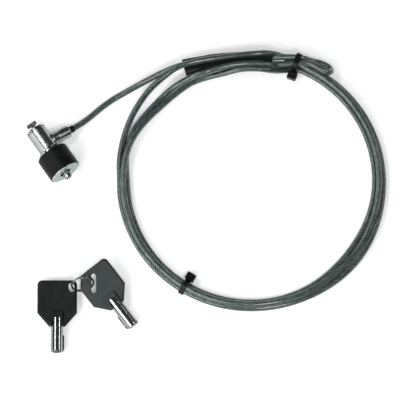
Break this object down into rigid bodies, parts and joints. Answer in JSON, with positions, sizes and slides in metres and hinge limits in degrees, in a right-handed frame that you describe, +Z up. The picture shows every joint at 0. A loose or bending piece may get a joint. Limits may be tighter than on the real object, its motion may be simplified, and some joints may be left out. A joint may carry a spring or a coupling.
{
  "type": "laptop cable lock",
  "caption": "T-bar lock head with a black grip collar on a swivelling cable arm, a coiled coated steel cable with a crimped eye, and tubular keys on a split ring.",
  "frame": {"origin": "on the surface that everything lies on, under the middle of the box of the lock head and keys; the cable is left out of that box", "axes": "+Z up from the surface; +Y from the keys towards the lock's cable arm, the long way of head and keys; +X from the lock head towards the cable's coil"},
  "size_m": [0.2335, 0.2014, 0.0224],
  "materials": {
    "swivel": "nickel plated, polished",
    "crimp": "plain crimped",
    "pin_steel": "ground",
    "gland": "moulded",
    "cable": "clear coat over galvanised steel rope",
    "sleeve": "heat-shrunk",
    "tie": "moulded nylon",
    "nickel": "nickel plated, polished",
    "washer": "plain",
    "bush": "turned",
    "collar": "satin moulded",
    "brass": "turned",
    "spring_steel": "drawn wire",
    "hard_steel": "ground",
    "key_pin_brass": "turned",
    "ring_steel": "nickel plated",
    "bow_dark": "moulded, fine texture",
    "bow_light": "moulded, fine texture"
  },
  "bodies": {
    "cable": {"swivel_body": "swivel", "cable_stop": "crimp", "arm_pin": "pin_steel", "cable_gland": "gland", "cable_lead": "cable", "cable_coil": "cable", "cable_loop": "cable", "loop_ferrule": "crimp", "loop_sleeve": "sleeve", "upper_tie": "tie", "lower_tie": "tie"},
    "barrel": {"nose_cap": "nickel", "lock_barrel": "nickel", "swivel_washer": "washer", "nose_bush": "bush", "grip_collar": "collar", "face_ring": "nickel", "pin_block": "brass", "block_pin": "pin_steel", "driver_pins": "brass", "pin_springs": "spring_steel"},
    "plug": {"lock_plug": "nickel", "t_bar": "hard_steel", "drive_pin": "pin_steel"},
    "pins": {"key_pins": "key_pin_brass"},
    "ring": {"key_ring": "ring_steel"},
    "key_a": {"key_a_bow": "bow_dark", "key_a_shank": "nickel"},
    "key_b": {"key_b_bow": "bow_light", "key_b_shank": "nickel"}
  },
  "joints": [
    {"name": "head_swivel", "type": "hinge", "parent": "cable", "child": "barrel", "pos_m": [-0.0311, 0.0708, 0.0093], "axis": [0.565, -0.8221, 0.0698], "continuous": true},
    {"name": "key_turn", "type": "hinge", "parent": "barrel", "child": "plug", "pos_m": [-0.0311, 0.0708, 0.0093], "axis": [0.565, -0.8221, 0.0698], "range_deg": [0, 90]},
    {"name": "pins_press", "type": "slide", "parent": "plug", "child": "pins", "axis": [-0.565, 0.8221, -0.0698], "range_m": [0, 0.0012], "stiffness_N_per_m": 300},
    {"name": "ring_lift", "type": "slide", "parent": "cable", "child": "ring", "axis": [0, 0, 1], "range_m": [0, 0.06]},
    {"name": "key_a_swing", "type": "hinge", "parent": "ring", "child": "key_a", "pos_m": [-0.0064, -0.0336, 0.007], "axis": [0, 0, 1], "range_deg": [-10, 10]},
    {"name": "key_b_swing", "type": "hinge", "parent": "ring", "child": "key_b", "pos_m": [0.0079, -0.0314, 0.007], "axis": [0, 0, 1], "range_deg": [-10, 10]}
  ]
}
